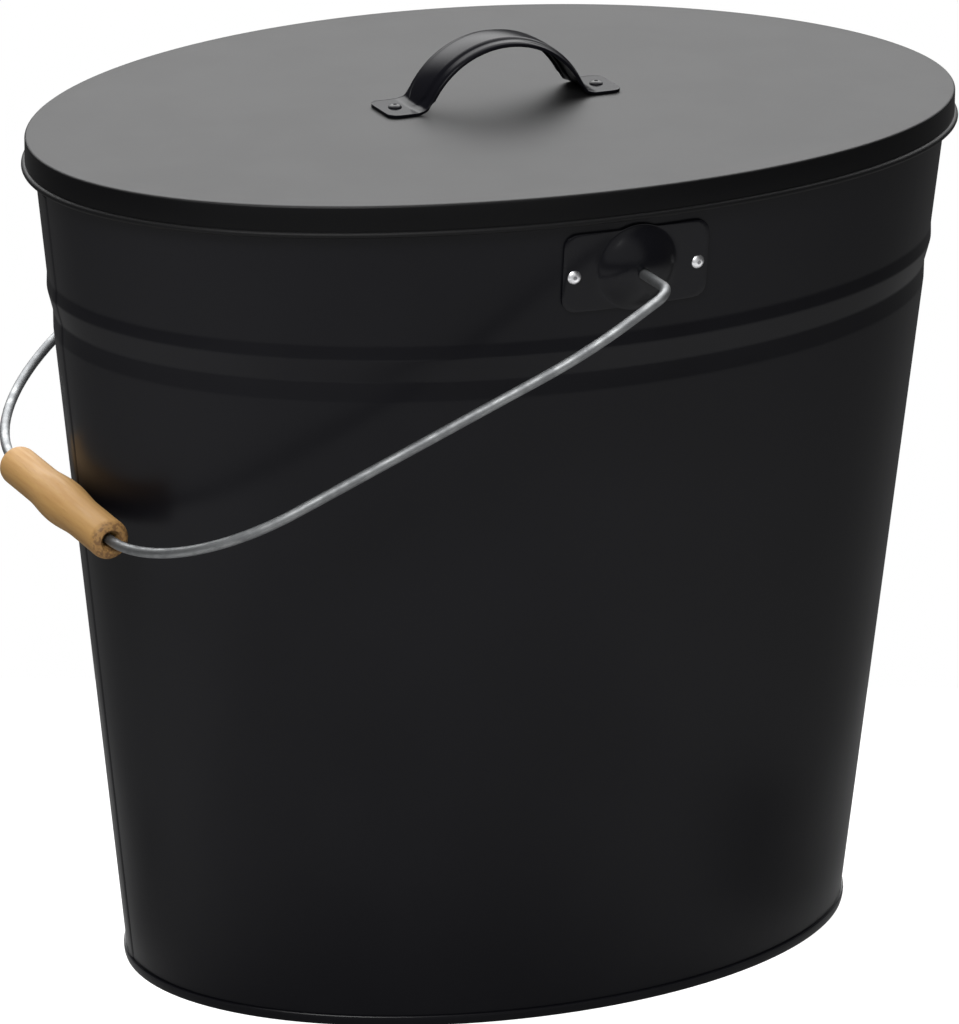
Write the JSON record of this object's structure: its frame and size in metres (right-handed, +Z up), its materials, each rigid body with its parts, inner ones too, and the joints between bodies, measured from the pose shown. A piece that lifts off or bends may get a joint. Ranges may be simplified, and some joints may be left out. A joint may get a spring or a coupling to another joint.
{
  "type": "ash bucket",
  "caption": "Oval black steel ash bucket with a lift-off lid, a strap lid handle and a swinging wire bail with a turned wooden grip",
  "frame": {"origin": "on the floor, under the middle of the bucket and of its box", "axes": "+X along the oval's long axis (right in the picture), -Y the front with the ear that the picture shows, +Z up"},
  "size_m": [0.4308, 0.3548, 0.4162],
  "materials": {
    "black_paint": "satin black paint on thin sheet steel",
    "galvanised_wire": "drawn galvanised wire",
    "grip_wood": "turned, lightly varnished wood",
    "rivet_aluminium": "bright blind-rivet aluminium",
    "mandrel_steel": "broken-off steel mandrel"
  },
  "bodies": {
    "bucket": {"bucket_wall": "black_paint", "wall_seam": "black_paint", "base_pan": "black_paint", "front_ear": "black_paint", "back_ear": "black_paint", "front_ear_rivet_left": "rivet_aluminium", "front_ear_rivet_right": "rivet_aluminium", "front_ear_mandrel_left": "mandrel_steel", "front_ear_mandrel_right": "mandrel_steel", "back_ear_rivet_left": "rivet_aluminium", "back_ear_rivet_right": "rivet_aluminium", "back_ear_mandrel_left": "mandrel_steel", "back_ear_mandrel_right": "mandrel_steel"},
    "bail": {"bail_wire": "galvanised_wire"},
    "grip": {"bail_grip": "grip_wood"},
    "lid": {"lid_pan": "black_paint", "lid_handle": "black_paint", "lid_handle_rivet_left": "black_paint", "lid_handle_rivet_right": "black_paint", "lid_handle_mandrel_left": "mandrel_steel", "lid_handle_mandrel_right": "mandrel_steel"}
  },
  "joints": [
    {"name": "bail_swing", "type": "hinge", "parent": "bucket", "child": "bail", "pos_m": [0, 0, 0.349], "axis": [0, 1, 0], "range_deg": [0, 241.31]},
    {"name": "grip_spin", "type": "hinge", "parent": "bail", "child": "grip", "pos_m": [-0.2051, 0, 0.22743], "axis": [0, 1, 0], "continuous": true},
    {"name": "lid_lift", "type": "slide", "parent": "bucket", "child": "lid", "axis": [0, 0, 1], "range_m": [0, 0.3]}
  ]
}
